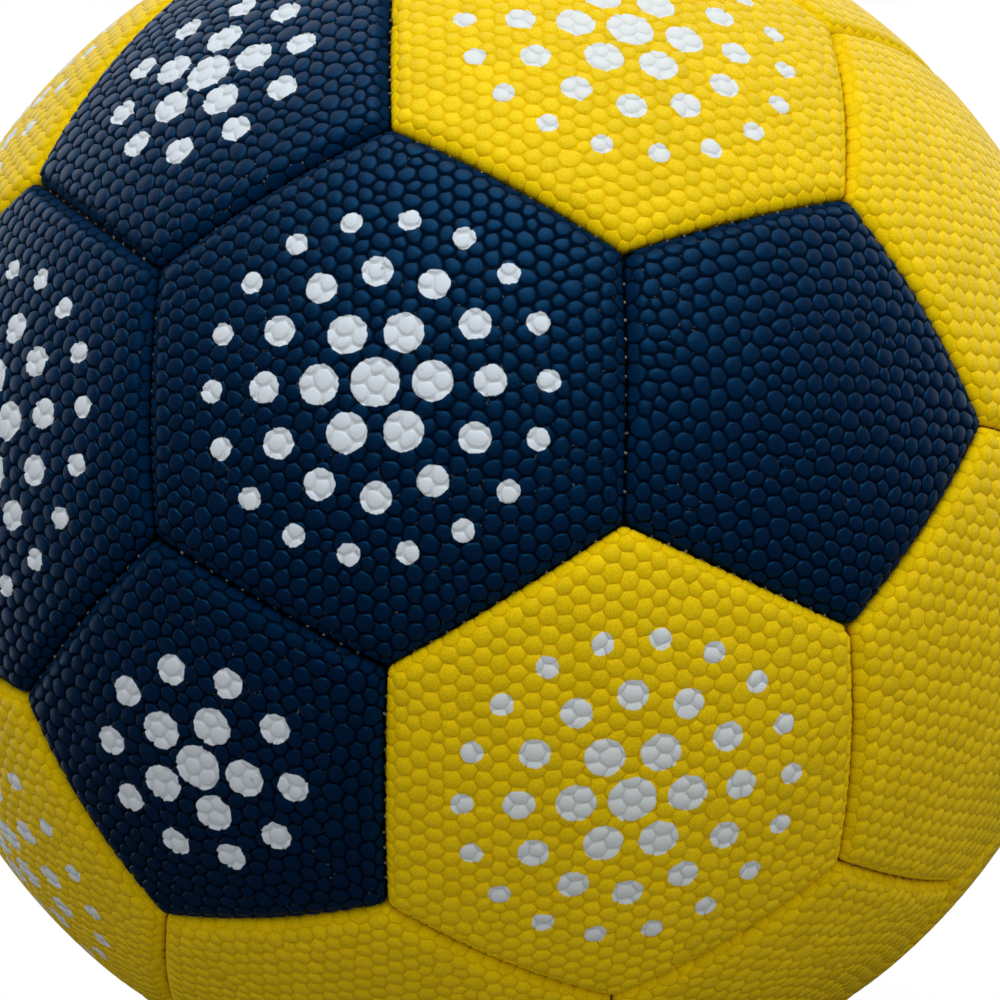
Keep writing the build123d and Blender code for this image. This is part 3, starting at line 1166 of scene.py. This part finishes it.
class HANDBALL_OT_inner_layers(bpy.types.Operator):
    """Finish the layers that lie under the cover"""

    bl_idname = "handball.inner_layers"
    bl_label = "Inner Layers"

    def execute(self, context):
        valve = settings()[2]
        finishes = {
            "foam": cellular_foam("backing_foam", (0.8, 0.79, 0.75)),
            "lining": woven_lining("cotton_lining", (0.78, 0.76, 0.7)),
            "bladder": moulded_rubber("butyl_rubber", (0.025, 0.024, 0.024)),
            "valve": moulded_rubber("plug_rubber", valve.rubber),
        }
        for name in frame["nodes"]:
            if slot_of(name) in finishes and name != "valve_housing":
                layer = bpy.data.objects[name]
                layer.data.materials.clear()
                layer.data.materials.append(finishes[slot_of(name)])
        return {"FINISHED"}


class HANDBALL_OT_stage(bpy.types.Operator):
    """Set up the light, the floor and the camera"""

    bl_idname = "handball.stage"
    bl_label = "Stage"

    def execute(self, context):
        context.scene.view_settings.view_transform = "Standard"
        self.light_world()
        self.lay_floor()
        self.hang_lamp()
        self.place_camera()
        return {"FINISHED"}

    def light_world(self):
        """Soft light, stronger from the right, and a white backdrop that gloss sees only behind the ball."""
        world = bpy.data.worlds.new("studio")
        world.use_nodes = True
        bpy.context.scene.world = world
        tree = world.node_tree
        tree.nodes.clear()
        stage = settings()[3]
        path = node(tree, "ShaderNodeLightPath").outputs
        seen = maths(tree, "MAXIMUM", path["Is Camera Ray"], path["Is Transmission Ray"])
        way = node(tree, "ShaderNodeTexCoord").outputs["Generated"]
        across, away, _ = node(tree, "ShaderNodeSeparateXYZ", {0: way}).outputs
        soft = ranged(tree, across, -1.0, 1.0, stage.ambient_left, stage.ambient_right)
        backdrop = ranged(tree, away, 0.0, 0.6, stage.gloss, 1.0)
        mirrored = ranged(tree, path["Is Glossy Ray"], 0.0, 1.0, soft, backdrop)
        strength = ranged(tree, seen, 0.0, 1.0, mirrored, 1.0)
        white = node(tree, "ShaderNodeBackground", {"Color": (1, 1, 1, 1), "Strength": strength})
        node(tree, "ShaderNodeOutputWorld", {"Surface": white.outputs[0]})

    def lay_floor(self):
        """A pale floor under the ball that keeps its shadow."""
        select_none()
        radius = ball_radius()
        bpy.ops.mesh.primitive_plane_add(size=FLOOR_SIZE * radius, location=(0, 0, -radius))
        bpy.ops.object.transform_apply(location=True, rotation=True, scale=True)
        floor = bpy.context.object
        floor.name = "floor"
        pale = 0.9
        material, tree, shader = new_material("pale_floor", (pale, pale, pale), 0.9)
        shader.inputs["Specular IOR Level"].default_value = 0.0
        place = own_place(tree)
        reach = node(tree, "ShaderNodeVectorMath", {0: place}, operation="LENGTH").outputs["Value"]
        faded = ranged(tree, reach, SHADOW_FADE[0] * radius, SHADOW_FADE[1] * radius, 0.5, 1.0)
        away = node(tree, "ShaderNodeSeparateXYZ", {0: place}).outputs["Y"]
        behind = ranged(tree, away, BACKDROP_FADE[0] * radius, BACKDROP_FADE[1] * radius)
        path = node(tree, "ShaderNodeLightPath").outputs
        mirrored = maths(tree, "MULTIPLY", path["Is Glossy Ray"], behind)
        seen = maths(tree, "MAXIMUM", path["Is Camera Ray"], path["Is Transmission Ray"])
        seen = maths(tree, "MAXIMUM", seen, mirrored)
        stage = settings()[3]
        bounce = ranged(tree, path["Is Glossy Ray"], 0.0, 1.0, stage.floor_bounce, stage.gloss)
        grey = ranged(tree, seen, 0.0, 1.0, bounce, pale)
        shade = node(tree, "ShaderNodeCombineColor", {0: grey, 1: grey, 2: grey}).outputs[0]
        tree.links.new(shade, shader.inputs["Base Color"])
        glow = node(tree, "ShaderNodeEmission", {"Color": (1, 1, 1, 1), "Strength": 1.0})
        lit = maths(tree, "MULTIPLY", seen, faded)
        mix = node(tree, "ShaderNodeMixShader", {0: lit, 1: shader.outputs[0], 2: glow.outputs[0]})
        tree.links.new(mix.outputs[0], tree.nodes["Material Output"].inputs["Surface"])
        floor.data.materials.append(material)

    def hang_lamp(self):
        """A square soft lamp overhead that looks at the ball."""
        lamp = bpy.data.lights.new("key_lamp", "AREA")
        lamp.energy = settings()[3].key_power
        lamp.size = KEY_SIZE * ball_radius()
        hung = bpy.data.objects.new("key_lamp", lamp)
        bpy.context.collection.objects.link(hung)
        hung.location = Vector(KEY_PLACE) * ball_radius()
        hung.rotation_euler = (-hung.location).to_track_quat("-Z", "Y").to_euler()

    def place_camera(self):
        """The photograph's view: a long lens a little above the ball, tilted to the side."""
        stage = settings()[3]
        lens = bpy.data.cameras.new("camera")
        lens.lens = stage.lens
        lens.sensor_width = SENSOR_WIDTH
        lens.clip_start = ball_radius() / 10
        lens.shift_x = (PHOTO_PIXELS / 2 - CENTRE_PIXEL[0]) / PHOTO_PIXELS
        lens.shift_y = (CENTRE_PIXEL[1] - PHOTO_PIXELS / 2) / PHOTO_PIXELS
        camera = bpy.data.objects.new("camera", lens)
        bpy.context.collection.objects.link(camera)
        turn = (
            Matrix.Rotation(stage.azimuth, 4, "Z")
            @ Matrix.Rotation(math.pi / 2 - stage.elevation, 4, "X")
            @ Matrix.Rotation(stage.roll, 4, "Z")
        )
        camera.matrix_world = turn @ Matrix.Translation((0, 0, stage.camera_distance))
        bpy.context.scene.camera = camera


class HANDBALL_PT_sidebar(bpy.types.Panel):
    """The ball's operators and settings"""

    bl_label = "Handball"
    bl_idname = "HANDBALL_PT_sidebar"
    bl_space_type = "VIEW_3D"
    bl_region_type = "UI"
    bl_category = "Handball"

    def draw(self, context):
        column = self.layout.column()
        for operator in OPERATORS:
            column.operator(operator.bl_idname)
        for group in settings():
            box = self.layout.box()
            for name in group.bl_rna.properties.keys():
                if name not in ("rna_type", "name"):
                    box.prop(group, name)


OPERATORS = (
    HANDBALL_OT_cover_panels,
    HANDBALL_OT_seam_threads,
    HANDBALL_OT_valve,
    HANDBALL_OT_inner_layers,
    HANDBALL_OT_stage,
)
GROUPS = {
    "handball_leather": LeatherSettings,
    "handball_seams": SeamSettings,
    "handball_valve": ValveSettings,
    "handball_stage": StageSettings,
}


def register():
    """Registers the classes and hangs the settings on the scene."""
    for cls in (*GROUPS.values(), *OPERATORS, HANDBALL_PT_sidebar):
        bpy.utils.register_class(cls)
    for name, group in GROUPS.items():
        setattr(bpy.types.Scene, name, PointerProperty(type=group))


def unregister():
    """Takes the settings and the classes away again."""
    for name in GROUPS:
        delattr(bpy.types.Scene, name)
    for cls in (HANDBALL_PT_sidebar, *OPERATORS, *GROUPS.values()):
        bpy.utils.unregister_class(cls)


def main():
    """Builds the ball and its stage."""
    register()
    bpy.ops.handball.cover_panels()
    bpy.ops.handball.seam_threads()
    bpy.ops.handball.valve()
    bpy.ops.handball.inner_layers()
    bpy.ops.handball.stage()


if __name__ == "__main__":
    main()
